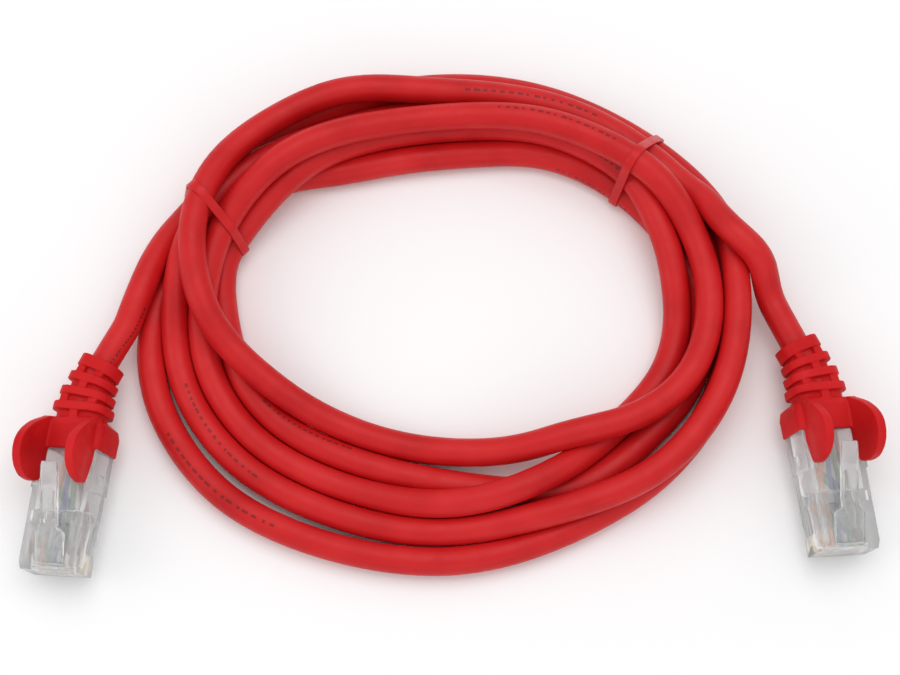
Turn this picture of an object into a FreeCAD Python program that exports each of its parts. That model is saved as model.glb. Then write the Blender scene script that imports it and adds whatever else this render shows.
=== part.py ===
import FreeCAD, Part
import Sketcher
import math
import os
import re

# Ethernet patch cable: a red cord wound into an oval coil, held by two flat bands,
# with a clear eight-contact plug and a ribbed boot on each end. Millimetres, +Z up,
# resting on Z = 0, origin under the middle of the whole object, plugs toward -Y.
#
# Each end is modelled in a plug frame: origin at the middle of the nose face,
# +Y back along the plug, +Z toward the latch.

Vector = FreeCAD.Vector
doc = FreeCAD.newDocument("EthernetPatchCable")

DRIVING_SIZES = [
    ("cable_diameter", 5.4, "jacket outside diameter"),
    ("plug_width", 11.68, "part that enters the jack"),
    ("plug_height", 6.6, "contact side to latch side"),
    ("plug_length", 24.2, "nose to rear end"),
    ("shoulder_width", 12.4, "wider rear part of the plug"),
    ("shoulder_start", 15.2, "from the nose"),
    ("nose_chamfer", 0.9, "latch side edge of the nose, down"),
    ("nose_chamfer_back", 1.26, "latch side edge of the nose, back"),
    ("contact_pitch", 1.02, "eight contacts side by side"),
    ("contact_count", 8, "contacts in a plug"),
    ("contact_thickness", 0.36, "gold plated blade"),
    ("contact_slot", 0.56, "slot for one blade"),
    ("contact_start", 0.7, "blade front, from the nose"),
    ("contact_length", 3.2, "blade along the plug"),
    ("contact_bottom", -2.75, "blade edge that meets the jack"),
    ("contact_top", -0.68, "blade edge under the conductor"),
    ("contact_notch", 0.6, "notch between the piercing points"),
    ("contact_point", 0.5, "front slope of the rear notch"),
    ("contact_heel", 0.7, "rear piercing point"),
    ("contact_toe", 0.3, "front edge of the upper part"),
    ("contact_slot_play", 0.2, "slot ahead of and behind the blade"),
    ("cut_margin", 1.0, "cuts start this far outside a face"),
    ("conductor_diameter", 0.9, "insulated conductor"),
    ("conductor_height", -0.2, "row of conductors"),
    ("conductor_start", 1.6, "conductor tips, from the nose"),
    ("fan_start", 11.4, "conductors start to gather"),
    ("fan_end", 20.4, "conductors gathered"),
    ("gathered_pitch", 0.6, "conductors where they enter the jacket"),
    ("gathered_level", 0.55, "upper and lower row in the jacket"),
    ("channel_width", 8.6, "conductor channel"),
    ("channel_height", 2.0, "conductor channel"),
    ("channel_start", 1.3, "closed end of the channel"),
    ("cavity_start", 11.2, "rear cavity, from the nose"),
    ("cavity_width", 9.4, "rear cavity"),
    ("cavity_height", 5.6, "rear cavity"),
    ("guide_start", 4.6, "conductor guide"),
    ("guide_length", 6.2, "conductor guide"),
    ("guide_play", 0.05, "guide in its channel, each side"),
    ("guide_hole_play", 0.02, "hole around a conductor"),
    ("bar_start", 15.4, "strain bar"),
    ("bar_length", 3.0, "strain bar"),
    ("bar_width", 7.2, "strain bar"),
    ("bar_bottom", -3.1, "strain bar"),
    ("bar_top", -1.04, "strain bar"),
    ("bar_lip", 0.6, "front edge of the strain bar"),
    ("pit_depth", 0.45, "recess in a side face"),
    ("pit_length", 2.0, "recess in a side face"),
    ("pit_height", 3.0, "recess in a side face"),
    ("pit_front", 9.2, "first recess"),
    ("pit_spacing", 7.4, "first to second recess"),
    ("hinge_back", 1.9, "latch hinge, from the nose"),
    ("hinge_height", 2.75, "latch hinge above the axis"),
    ("hinge_radius", 0.5, "round root of the latch"),
    ("latch_slope", 19.5, "latch at rest, degrees from the plug"),
    ("latch_reach", 18.0, "hinge to the free end"),
    ("latch_thickness", 0.95, "latch"),
    ("latch_root_width", 6.0, "wide front part of the latch"),
    ("latch_root_reach", 5.6, "wide front part of the latch"),
    ("latch_tab_width", 3.4, "narrow rear part of the latch"),
    ("latch_well_floor", 2.1, "well that the latch folds into"),
    ("latch_well_start", 1.1, "well, from the nose"),
    ("latch_well_end", 8.7, "wide part of the well"),
    ("latch_groove_end", 17.6, "narrow part of the well"),
    ("latch_clearance", 0.2, "each side of the latch"),
    ("hood_front", 22.8, "boot hood, from the nose"),
    ("hood_length", 6.2, "boot hood"),
    ("hood_width", 13.8, "boot hood"),
    ("hood_height", 8.4, "boot hood"),
    ("hood_chamfer", 1.0, "rear edges of the hood"),
    ("socket_play", 0.05, "boot around the plug, each side"),
    ("ear_thickness", 1.6, "ear beside the latch"),
    ("ear_centre", 5.4, "ear middle plane from the plug's middle"),
    ("ear_height", 7.8, "ear above the hood"),
    ("ear_front", 15.9, "ear tip, from the nose"),
    ("ear_root", 0.9, "ear into the hood"),
    ("rib_thickness", 1.6, "ring of the boot tail"),
    ("rib_gap", 1.2, "slit between rings"),
    ("rib_count", 4, "rings, the last one is the collar"),
    ("rib_width", 11.2, "first ring"),
    ("rib_height", 8.0, "first ring"),
    ("rib_width_step", 0.95, "narrower from ring to ring"),
    ("rib_height_step", 0.27, "lower from ring to ring"),
    ("rib_corner", 2.2, "corner radius of a ring"),
    ("collar_length", 2.4, "last ring"),
    ("core_side", 1.0, "core between the rings, in from a ring's side"),
    ("core_top", 1.1, "core between the rings, below a ring's top"),
    ("web_width", 1.7, "web between two rings"),
    ("web_overlap", 0.3, "web into each ring"),
    ("web_inset", 0.35, "web below the ring's top"),
    ("corner_web_inset", 0.63, "corner web below the ring's top"),
    ("corner_web_side", 1.3, "corner web in from the ring's side"),
    ("jacket_inset", 1.8, "jacket end, ahead of the plug's rear end"),
    ("jacket_gap", 0.1, "between the jacket in the boot and the free cord"),
    ("bore_play", 0.03, "boot around the jacket, each side"),
    ("bore_margin", 2.0, "bent bore past the collar, degrees"),
    ("tail_bend_radius", 31.0, "boot tail bend"),
    ("plug_yaw", 6.4, "plug noses turned outward, degrees"),
    ("plug_roll", 17.0, "latches leaning outward, degrees"),
    ("plug_axis_height", 6.05, "plug axis above the ground"),
    ("left_nose_x", -72.7, "left nose"),
    ("left_nose_y", -50.8, "left nose"),
    ("right_nose_x", 72.7, "right nose"),
    ("right_nose_y", -47.0, "right nose"),
    ("coil_width", 117.0, "coil outside"),
    ("coil_depth", 101.0, "coil outside"),
    ("coil_x", -1.1, "coil middle"),
    ("coil_y", 0.3, "coil middle"),
    ("coil_height", 13.4, "stacked turns"),
    ("coil_hole_width", 84.4, "coil inside"),
    ("coil_hole_depth", 58.4, "coil inside"),
    ("coil_hole_x", -0.4, "hole middle"),
    ("coil_hole_y", 2.4, "hole middle"),
    ("coil_rounding", 4.0, "edges of the coil"),
    ("band_width", 1.8, "flat band"),
    ("band_thickness", 0.5, "flat band"),
    ("band_height", 14.0, "band around the turns, outside"),
    ("band_corner", 4.4, "band corner radius"),
    ("band_inner_cut", 2.64, "corner cut of the band's opening"),
    ("left_band_span", 18.6, "band across the turns, outside"),
    ("left_band_x", -45.8, "left band middle"),
    ("left_band_y", 19.2, "left band middle"),
    ("left_band_turn", -46.0, "left band, degrees"),
    ("right_band_span", 18.0, "band across the turns, outside"),
    ("right_band_x", 36.1, "right band middle"),
    ("right_band_y", 28.6, "right band middle"),
    ("right_band_turn", 54.0, "right band, degrees"),
]

# Free stretches of the cord, from the boot into the coil, after the boot's end point.
# Each entry is how far the point lies from the boot's end: across, back and up.
LEAD_STEPS = {
    -1: [(4.0, 7.4, -0.3), (7.9, 14.4, -1.4), (11.1, 21.4, -2.5)],
    1: [(-3.6, 6.6, 0.1), (-7.2, 12.9, 0.9), (-11.2, 19.0, 2.0), (-15.9, 24.6, 3.0)],
}

# Ear outline seen from the side: the edge it is measured from, how far behind that edge,
# and how far up as a share of the ear's height.
EAR_OUTLINE = [
    ("hood_front + hood_length", -0.6, 0.14),
    ("hood_front", 0.9, 0.72),
    ("hood_front", -2.1, 1.0),
    ("ear_front", 2.8, 1.0),
    ("ear_front", 0.9, 0.8),
    ("ear_front", 0.0, 0.55),
    ("ear_front", 0.1, 0.1),
    ("ear_front", 1.1, -0.04),
    ("hood_front", 0.5, -0.04),
]
ARC_SHARE = 0.45  # of the shorter run, given to the arc at a corner of the free cord
SIDE_NAMES = {-1: "left", 1: "right"}
ALIASES = [alias for alias, value, note in DRIVING_SIZES]


def make_sheet():
    sheet = doc.addObject("Spreadsheet::Sheet", "Sizes")
    for row, (alias, value, note) in enumerate(DRIVING_SIZES, start=1):
        sheet.set("A%d" % row, alias)
        sheet.set("B%d" % row, str(value))
        sheet.set("C%d" % row, note)
        sheet.setAlias("B%d" % row, alias)
    doc.recompute()
    return sheet


sheet = make_sheet()


def size(alias):
    return float(sheet.get(alias))


def bind(target, prop, formula):
    """Ties a property to a formula in which the sheet's aliases stand as plain words."""
    def tie(match):
        word = match.group()
        return "Sizes." + word if word in ALIASES else word
    target.setExpression(prop, re.sub("[a-z_]+", tie, formula))


# Drawing helpers

def new_body(label):
    body = doc.addObject("PartDesign::Body", label)
    body.Label = label
    return body


def new_sketch(body, name, role, offset="0"):
    plane = [f for f in body.Origin.OriginFeatures if f.Role == role][0]
    sketch = body.newObject("Sketcher::SketchObject", name)
    sketch.AttachmentSupport = [(plane, "")]
    sketch.MapMode = "FlatFace"
    if offset != "0":
        bind(sketch, ".AttachmentOffset.Base.z", offset)
    return sketch


def draw_outline(sketch, corners):
    """A closed outline of straight lines; every corner is two bound distances."""
    count = len(corners)
    start = []
    for i in range(count):
        angle = 2 * math.pi * i / count
        start.append(Vector(10 * math.cos(angle), 10 * math.sin(angle), 0))
    first = sketch.GeometryCount
    for i in range(count):
        line = Part.LineSegment(start[i], start[(i + 1) % count])
        sketch.addGeometry(line, False)
    for i in range(count):
        here, after = first + i, first + (i + 1) % count
        sketch.addConstraint(make_constraint("Coincident", here, 2, after, 1))
    for i, (across, up) in enumerate(corners):
        for kind, formula, value in (("DistanceX", across, start[i].x),
                                     ("DistanceY", up, start[i].y)):
            index = sketch.addConstraint(make_constraint(kind, -1, 1, first + i, 1, value))
            bind(sketch, "Constraints[%d]" % index, formula)


def draw_rectangle(sketch, left, bottom, width, height):
    right = "%s + %s" % (left, width)
    top = "%s + %s" % (bottom, height)
    draw_outline(sketch, [(left, bottom), (right, bottom), (right, top), (left, top)])


def draw_circle(sketch, across, up, radius):
    circle = Part.Circle(Vector(1, 1, 0), Vector(0, 0, 1), 1)
    index = sketch.addGeometry(circle, False)
    for kind, formula in (("DistanceX", across), ("DistanceY", up)):
        number = sketch.addConstraint(make_constraint(kind, -1, 1, index, 3, 1))
        bind(sketch, "Constraints[%d]" % number, formula)
    number = sketch.addConstraint(make_constraint("Radius", index, 1))
    bind(sketch, "Constraints[%d]" % number, radius)


def make_constraint(*parts):
    return Sketcher.Constraint(*parts)


def add_feature(body, kind, sketch, length, midplane=True, flipped=False):
    """Pad or Pocket of a sketch, checked to add or remove material."""
    before = volume_of(body)
    feature = body.newObject("PartDesign::" + kind, kind + "_" + sketch.Name)
    feature.Profile = sketch
    bind(feature, "Length", length)
    feature.Midplane = midplane
    feature.Reversed = flipped
    doc.recompute()
    after = volume_of(body)
    grew = after > before + 1e-6
    if (kind == "Pad") != grew or abs(after - before) < 1e-6:
        raise RuntimeError("%s of %s changed nothing" % (kind, sketch.Name))
    return feature


def round_edges(body, feature, wanted, radius):
    """Fillet on the edges whose bounding box is wanted."""
    edges = ["Edge%d" % number for number, edge in enumerate(feature.Shape.Edges, start=1)
             if wanted(edge.BoundBox)]
    fillet = body.newObject("PartDesign::Fillet", "Rounded" + feature.Name)
    fillet.Base = (feature, edges)
    bind(fillet, "Radius", radius)
    doc.recompute()


def volume_of(body):
    if body.Tip is None or body.Shape.isNull():
        return 0.0
    return body.Shape.Volume


def side_profile(body, name, corners, width, kind="Pad", offset="0"):
    """An outline seen from the side (back, up), made `width` wide."""
    sketch = new_sketch(body, name, "YZ_Plane", offset)
    draw_outline(sketch, corners)
    return add_feature(body, kind, sketch, width)


def box_corners(start, bottom, length, height):
    end = "%s + %s" % (start, length)
    top = "%s + %s" % (bottom, height)
    return [(start, bottom), (end, bottom), (end, top), (start, top)]


# Places

def plug_place(side):
    """Plug frame to object frame: the noses turn and the latches lean outward."""
    name = SIDE_NAMES[side]
    nose = Vector(size(name + "_nose_x"), size(name + "_nose_y"), size("plug_axis_height"))
    yaw = FreeCAD.Rotation(Vector(0, 0, 1), side * size("plug_yaw"))
    roll = FreeCAD.Rotation(Vector(0, 1, 0), side * size("plug_roll"))
    return FreeCAD.Placement(nose, yaw * roll)


def tail_frame(side, along):
    """Place on the boot tail's middle line, `along` from the hood's rear face."""
    roll = math.radians(size("plug_roll"))
    toward = Vector(-side * math.cos(roll), 0, -math.sin(roll))
    radius = size("tail_bend_radius")
    angle = along / radius
    hood_rear = Vector(0, size("hood_front") + size("hood_length"), 0)
    point = hood_rear + Vector(0, radius * math.sin(angle), 0)
    point = point + toward * (radius * (1 - math.cos(angle)))
    hinge = Vector(0, 1, 0).cross(toward)
    return FreeCAD.Placement(point, FreeCAD.Rotation(hinge, math.degrees(angle)))


def tail_length():
    gaps = size("rib_count") * size("rib_gap")
    rings = (size("rib_count") - 1) * size("rib_thickness") + size("collar_length")
    return gaps + rings


# Plug

def make_housing(side):
    """Clear one-piece body, hollow for the conductors, with eight contact slots."""
    body = new_body("plug_housing_" + SIDE_NAMES[side])
    nose = [("0", "0 - plug_height / 2"),
            ("plug_length", "0 - plug_height / 2"),
            ("plug_length", "plug_height / 2"),
            ("nose_chamfer_back", "plug_height / 2"),
            ("0", "plug_height / 2 - nose_chamfer")]
    side_profile(body, "Blank", nose, "plug_width")
    shoulder = box_corners("shoulder_start", "0 - plug_height / 2",
                           "plug_length - shoulder_start", "plug_height")
    side_profile(body, "Shoulder", shoulder, "shoulder_width")
    channel = box_corners("channel_start", "conductor_height - channel_height / 2",
                          "plug_length - channel_start", "channel_height")
    side_profile(body, "Channel", channel, "channel_width", "Pocket")
    cavity = box_corners("cavity_start", "0 - cavity_height / 2",
                         "plug_length - cavity_start", "cavity_height")
    side_profile(body, "Cavity", cavity, "cavity_width", "Pocket")
    window = box_corners("bar_start - latch_clearance", "0 - plug_height / 2 - cut_margin",
                         "bar_length + 2 * latch_clearance", "2 * cut_margin")
    side_profile(body, "Window", window, "bar_width + 2 * latch_clearance", "Pocket")
    cut_latch_well(body)
    cut_side_pits(body)
    cut_contact_slots(body)
    return body


def cut_latch_well(body):
    well = box_corners("latch_well_start", "latch_well_floor",
                       "latch_well_end - latch_well_start", "2 * cut_margin")
    side_profile(body, "Well", well, "latch_root_width + 2 * latch_clearance", "Pocket")
    front, above = "latch_well_start + cut_margin", "plug_height / 2 + latch_clearance"
    groove = [(front, "latch_well_floor"), ("latch_groove_end", above), (front, above)]
    side_profile(body, "Groove", groove, "latch_tab_width + 2 * latch_clearance", "Pocket")


def cut_side_pits(body):
    for number in range(2):
        start = "pit_front + %d * pit_spacing" % number
        pit = box_corners(start, "0 - pit_height / 2", "pit_length", "pit_height")
        face = "plug_width" if number == 0 else "shoulder_width"
        for hand in ("", "0 - "):
            side_profile(body, "Pit%d%s" % (number, "R" if hand else "L"), pit,
                         "2 * pit_depth", "Pocket", "%s%s / 2" % (hand, face))


def in_row(number, pitch):
    """Formula for the place of one of the eight conductors across the plug."""
    return "( %d - ( contact_count - 1 ) / 2 ) * %s" % (number, pitch)


def cut_contact_slots(body):
    slot = box_corners("contact_start - contact_slot_play", "0 - plug_height / 2 - cut_margin / 2",
                       "contact_length + 2 * contact_slot_play", "plug_height / 2")
    for number in range(int(size("contact_count"))):
        offset = in_row(number, "contact_pitch")
        side_profile(body, "Slot%d" % number, slot, "contact_slot", "Pocket", offset)


def make_latch(side):
    """Sprung lever: round root at the nose, wide shoulders, narrow thumb tab."""
    body = new_body("latch_lever_" + SIDE_NAMES[side])
    root = new_sketch(body, "Root", "YZ_Plane")
    draw_circle(root, "hinge_back", "hinge_height", "hinge_radius")
    add_feature(body, "Pad", root, "latch_root_width")
    side_profile(body, "Shoulders", lever_corners("latch_root_reach"), "latch_root_width")
    side_profile(body, "Tab", lever_corners("latch_reach"), "latch_tab_width")
    return body


def lever_corners(reach):
    slope_cos = "cos(latch_slope * 1 deg)"
    slope_sin = "sin(latch_slope * 1 deg)"
    half = "latch_thickness / 2"
    near, far = "0", reach
    corners = []
    for along, under in ((near, True), (far, True), (far, False), (near, False)):
        back = "hinge_back + %s * %s %s %s * %s" % (
            along, slope_cos, "+" if under else "-", half, slope_sin)
        up = "hinge_height + %s * %s %s %s * %s" % (
            along, slope_sin, "-" if under else "+", half, slope_cos)
        corners.append((back, up))
    return corners


def make_guide(side):
    """Bar with eight holes that keeps the conductors in a row."""
    body = new_body("wire_guide_" + SIDE_NAMES[side])
    bar = box_corners("guide_start", "conductor_height - channel_height / 2 + guide_play",
                      "guide_length", "channel_height - 2 * guide_play")
    side_profile(body, "Bar", bar, "channel_width - 2 * guide_play")
    for number in range(int(size("contact_count"))):
        hole = new_sketch(body, "Hole%d" % number, "XZ_Plane", "0 - guide_start")
        draw_circle(hole, in_row(number, "contact_pitch"), "conductor_height",
                    "conductor_diameter / 2 + guide_hole_play")
        add_feature(body, "Pocket", hole, "4 * guide_length")
    return body


def make_strain_bar(side):
    """Wedge pushed in from the contact side, with a sloping front face."""
    body = new_body("strain_bar_" + SIDE_NAMES[side])
    wedge = [("bar_start", "bar_bottom"),
             ("bar_start + bar_length", "bar_bottom"),
             ("bar_start + bar_length", "bar_top"),
             ("bar_start + bar_length / 2", "bar_top"),
             ("bar_start", "bar_bottom + bar_lip")]
    side_profile(body, "Wedge", wedge, "bar_width")
    return body


def make_contact(side, number):
    """Blade with two piercing points below its conductor and a rounded lower front."""
    body = new_body("contact_%s_%d" % (SIDE_NAMES[side], number + 1))
    rear, middle = "contact_start + contact_length", "contact_start + contact_length / 2"
    notch = "contact_top - contact_notch"
    blade = [("contact_start + contact_point", "contact_bottom"),
             (rear, "contact_bottom"),
             (rear, "contact_top"),
             (rear + " - contact_heel", notch),
             (middle, notch),
             (middle + " - contact_point", "contact_top"),
             ("contact_start + contact_toe", notch),
             ("contact_start", "contact_bottom + contact_point")]
    offset = in_row(number, "contact_pitch")
    side_profile(body, "Blade", blade, "contact_thickness", "Pad", offset)
    return body


def make_conductor(side, number):
    """Straight under the contact, then an S-bend into the end of the jacket."""
    from_middle = number - (size("contact_count") - 1) / 2
    across = from_middle * size("contact_pitch")
    row = size("conductor_height")
    gathered_x = from_middle * size("gathered_pitch")
    gathered_z = size("gathered_level") if number % 2 else -size("gathered_level")
    p_tip = Vector(across, size("conductor_start"), row)
    p_fan = Vector(across, size("fan_start"), row)
    p_in = Vector(gathered_x, size("fan_end"), gathered_z)
    p_end = Vector(gathered_x, jacket_start(), gathered_z)
    edges = [Part.LineSegment(p_tip, p_fan).toShape()]
    edges += s_bend(p_fan, p_in)
    edges.append(Part.LineSegment(p_in, p_end).toShape())
    shape = sweep_round(edges, size("conductor_diameter") / 2)
    return plain_feature("conductor_%s_%d" % (SIDE_NAMES[side], number + 1), shape)


def jacket_start():
    return size("plug_length") - size("jacket_inset")


def s_bend(start, end):
    """Two equal arcs from start to end, both ends running along +Y."""
    run = end.y - start.y
    drift = Vector(end.x - start.x, 0, end.z - start.z)
    offset = drift.Length
    drift.normalize()
    radius = (run * run + offset * offset) / (4 * offset)
    half = math.atan2(offset, run)
    middle = (start + end) * 0.5
    reach = radius * math.sin(half)
    rise = radius * (1 - math.cos(half))
    first = start + Vector(0, reach, 0) + drift * rise
    second = end - Vector(0, reach, 0) - drift * rise
    return [Part.Arc(start, first, middle).toShape(), Part.Arc(middle, second, end).toShape()]


def sweep_round(edges, radius):
    """Round solid along joined tangent edges; its volume is section times length."""
    spine = Part.Wire(edges)
    start = edges[0].valueAt(edges[0].FirstParameter)
    heading = edges[0].tangentAt(edges[0].FirstParameter)
    ring = Part.Wire([Part.Circle(start, heading, radius).toShape()])
    solid = spine.makePipeShell([ring], True, False, 2)
    if solid.Volume < 0:
        solid.reverse()
    expected = math.pi * radius * radius * spine.Length
    if abs(solid.Volume - expected) > 0.01 * expected:
        raise RuntimeError("tube volume %.2f, expected %.2f" % (solid.Volume, expected))
    return solid


def plain_feature(label, shape):
    feature = doc.addObject("Part::Feature", label)
    feature.Label = label
    feature.Shape = shape
    return feature


# Boot

def make_boot(side):
    """Soft boot: hood around the plug's rear, two ears, a bent tail of rings."""
    prefix = "Boot%s" % SIDE_NAMES[side].capitalize()
    pieces = [make_hood(prefix)]
    pieces += [make_ear(prefix, hand) for hand in (-1, 1)]
    pieces += make_tail(prefix, side)
    whole = doc.addObject("Part::MultiFuse", prefix + "Whole")
    whole.Shapes = pieces
    hollow = make_boot_hollow(prefix, side)
    boot = doc.addObject("Part::Cut", "boot_" + SIDE_NAMES[side])
    boot.Label = "boot_" + SIDE_NAMES[side]
    boot.Base = whole
    boot.Tool = hollow
    doc.recompute()
    return boot


def make_hood(prefix):
    hood = doc.addObject("Part::Box", prefix + "Hood")
    bind(hood, "Length", "hood_width")
    bind(hood, "Width", "hood_length")
    bind(hood, "Height", "hood_height")
    bind(hood, "Placement.Base.x", "0 - hood_width / 2")
    bind(hood, "Placement.Base.y", "hood_front")
    bind(hood, "Placement.Base.z", "0 - hood_height / 2")
    doc.recompute()
    rear = size("hood_front") + size("hood_length")
    edges = []
    for number, edge in enumerate(hood.Shape.Edges, start=1):
        middle = edge.BoundBox.Center
        on_rear = abs(middle.y - rear) < 0.01
        along_plug = edge.BoundBox.YLength > 1
        if on_rear or along_plug:
            edges.append((number, size("hood_chamfer"), size("hood_chamfer")))
    chamfer = doc.addObject("Part::Chamfer", prefix + "HoodEdges")
    chamfer.Base = hood
    chamfer.Edges = edges
    return chamfer


def make_ear(prefix, hand):
    """Leaf-shaped ear that guards the latch from snagging."""
    name = prefix + ("EarLeft" if hand < 0 else "EarRight")
    sketch = doc.addObject("Sketcher::SketchObject", name + "Outline")
    sketch.Placement = FreeCAD.Placement(
        Vector(0, 0, 0), FreeCAD.Rotation(Vector(0, 1, 0), Vector(0, 0, 1), Vector(1, 0, 0)))
    base = "hood_height / 2"
    sunk = base + " - ear_root"
    corners = [("hood_front + hood_length - ear_root / 2", sunk)]
    corners += [("%s + %s" % (edge, back), "%s + ear_height * %s" % (base, share))
                for edge, back, share in EAR_OUTLINE]
    corners.append(("hood_front + ear_root / 2", sunk))
    draw_outline(sketch, corners)
    ear = doc.addObject("Part::Extrusion", name)
    ear.Base = sketch
    ear.DirMode = "Custom"
    ear.Dir = Vector(1, 0, 0)
    bind(ear, "LengthFwd", "ear_thickness")
    ear.Solid = True
    ear.Symmetric = True
    bind(ear, "Placement.Base.x", "%d * ear_centre" % hand)
    return ear


def make_tail(prefix, side):
    """Four rings on the bend, on a core with webs in turn at the middle and the corners."""
    pieces = []
    along = 0.0
    for number in range(int(size("rib_count"))):
        gap = size("rib_gap")
        pieces += make_webs(prefix, side, number, along + gap / 2)
        along += gap
        last = number == int(size("rib_count")) - 1
        length = "collar_length" if last else "rib_thickness"
        pieces.append(make_ring(prefix, side, number, length, along + size(length) / 2))
        along += size(length)
    return pieces


def make_ring(prefix, side, number, length, along):
    ring = doc.addObject("Part::Box", "%sRing%d" % (prefix, number + 1))
    bind(ring, "Length", "rib_width - %d * rib_width_step" % number)
    bind(ring, "Width", length)
    bind(ring, "Height", "rib_height - %d * rib_height_step" % number)
    doc.recompute()
    edges = []
    for index, edge in enumerate(ring.Shape.Edges, start=1):
        if edge.BoundBox.YLength > 0.5 and edge.BoundBox.XLength < 0.01:
            if edge.BoundBox.ZLength < 0.01:
                edges.append((index, size("rib_corner"), size("rib_corner")))
    middle = Vector(ring.Length.Value / 2, ring.Width.Value / 2, ring.Height.Value / 2)
    ring.Placement = tail_frame(side, along) * FreeCAD.Placement(-middle, FreeCAD.Rotation())
    rounded = doc.addObject("Part::Fillet", ring.Name + "Rounded")
    rounded.Base = ring
    rounded.Edges = edges
    return rounded


def make_webs(prefix, side, number, along):
    width = size("rib_width") - number * size("rib_width_step")
    height = size("rib_height") - number * size("rib_height_step")
    depth = height / 2 - size("cable_diameter") / 2
    if number % 2 == 0:
        spots = [(0, 1), (0, -1)]
    else:
        inset = width / 2 - size("web_width") / 2 - size("corner_web_side")
        spots = [(-inset, 1), (inset, 1), (-inset, -1), (inset, -1)]
    core = doc.addObject("Part::Box", "%sCore%d" % (prefix, number + 1))
    core.Length = width - 2 * size("core_side")
    bind(core, "Width", "rib_gap + 2 * web_overlap")
    core.Height = height - 2 * size("core_top")
    middle = Vector(core.Length.Value / 2, size("rib_gap") / 2 + size("web_overlap"),
                    core.Height.Value / 2)
    core.Placement = tail_frame(side, along) * FreeCAD.Placement(-middle, FreeCAD.Rotation())
    webs = [core]
    for index, (across, level) in enumerate(spots):
        web = doc.addObject("Part::Box", "%sWeb%d_%d" % (prefix, number + 1, index + 1))
        bind(web, "Length", "web_width")
        bind(web, "Width", "rib_gap + 2 * web_overlap")
        web.Height = depth
        up = height / 2 - depth / 2 - size("web_inset" if number % 2 == 0 else "corner_web_inset")
        shift = Vector(across - size("web_width") / 2, -size("rib_gap") / 2 - size("web_overlap"),
                       level * up - depth / 2)
        web.Placement = tail_frame(side, along) * FreeCAD.Placement(shift, FreeCAD.Rotation())
        webs.append(web)
    return webs


def make_boot_hollow(prefix, side):
    """Socket for the plug's rear end and the bore for the jacket."""
    socket = doc.addObject("Part::Box", prefix + "Socket")
    bind(socket, "Length", "shoulder_width + 2 * socket_play")
    bind(socket, "Width", "plug_length - hood_front + cut_margin")
    bind(socket, "Height", "plug_height + 2 * socket_play")
    bind(socket, "Placement.Base.x", "0 - shoulder_width / 2 - socket_play")
    bind(socket, "Placement.Base.y", "hood_front - cut_margin")
    bind(socket, "Placement.Base.z", "0 - plug_height / 2 - socket_play")
    bore = doc.addObject("Part::Cylinder", prefix + "Bore")
    bind(bore, "Radius", "cable_diameter / 2 + bore_play")
    bind(bore, "Height", "hood_length")
    bore.Placement = FreeCAD.Placement(
        Vector(0, size("hood_front"), 0), FreeCAD.Rotation(Vector(1, 0, 0), -90))
    bend = doc.addObject("Part::Torus", prefix + "BentBore")
    bind(bend, "Radius1", "tail_bend_radius")
    bind(bend, "Radius2", "cable_diameter / 2 + bore_play")
    bend.Angle3 = math.degrees(tail_length() / size("tail_bend_radius")) + size("bore_margin")
    start = tail_frame(side, 0)
    roll = math.radians(size("plug_roll"))
    toward = Vector(-side * math.cos(roll), 0, -math.sin(roll))
    hinge = Vector(0, 1, 0).cross(toward)
    bend.Placement = FreeCAD.Placement(
        start.Base + toward * size("tail_bend_radius"),
        FreeCAD.Rotation(-toward, Vector(0, 1, 0), hinge))
    hollow = doc.addObject("Part::MultiFuse", prefix + "Hollow")
    hollow.Shapes = [socket, bore, bend]
    return hollow


# Cord

def make_jacket_end(side):
    """Jacket from just inside the plug to the boot's rear end."""
    start = Vector(0, jacket_start(), 0)
    bend_start = tail_frame(side, 0).Base
    reach = tail_length() - size("jacket_gap")
    bend_middle = tail_frame(side, reach / 2).Base
    bend_end = tail_frame(side, reach).Base
    edges = [Part.LineSegment(start, bend_start).toShape(),
             Part.Arc(bend_start, bend_middle, bend_end).toShape()]
    shape = sweep_round(edges, size("cable_diameter") / 2)
    return plain_feature("jacket_end_" + SIDE_NAMES[side], shape)


def lead_points(side):
    end = plug_place(side) * tail_frame(side, tail_length())
    return [end.Base] + [end.Base + Vector(*step) for step in LEAD_STEPS[side]]


def rounded_path(points, name):
    """Straight runs joined by the largest tangent arcs that the runs allow."""
    edges = []
    here = points[0]
    for before, corner, after in zip(points, points[1:], points[2:]):
        arrive = corner - before
        leave = after - corner
        shorter = min(arrive.Length, leave.Length)
        turn = arrive.getAngle(leave)
        radius = ARC_SHARE * shorter / math.tan(turn / 2)
        print("%s: turn %.1f degrees, radius %.1f mm" % (name, math.degrees(turn), radius))
        arrive.normalize()
        leave.normalize()
        enter = corner - arrive * (ARC_SHARE * shorter)
        exit_point = corner + leave * (ARC_SHARE * shorter)
        inward = leave - arrive
        inward.normalize()
        bulge = radius / math.cos(turn / 2) - radius
        edges.append(Part.LineSegment(here, enter).toShape())
        edges.append(Part.Arc(enter, corner + inward * bulge, exit_point).toShape())
        here = exit_point
    edges.append(Part.LineSegment(here, points[-1]).toShape())
    return edges


def make_lead(side):
    name = "cable_lead_" + SIDE_NAMES[side]
    edges = rounded_path(lead_points(side), name)
    return plain_feature(name, sweep_round(edges, size("cable_diameter") / 2))


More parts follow.
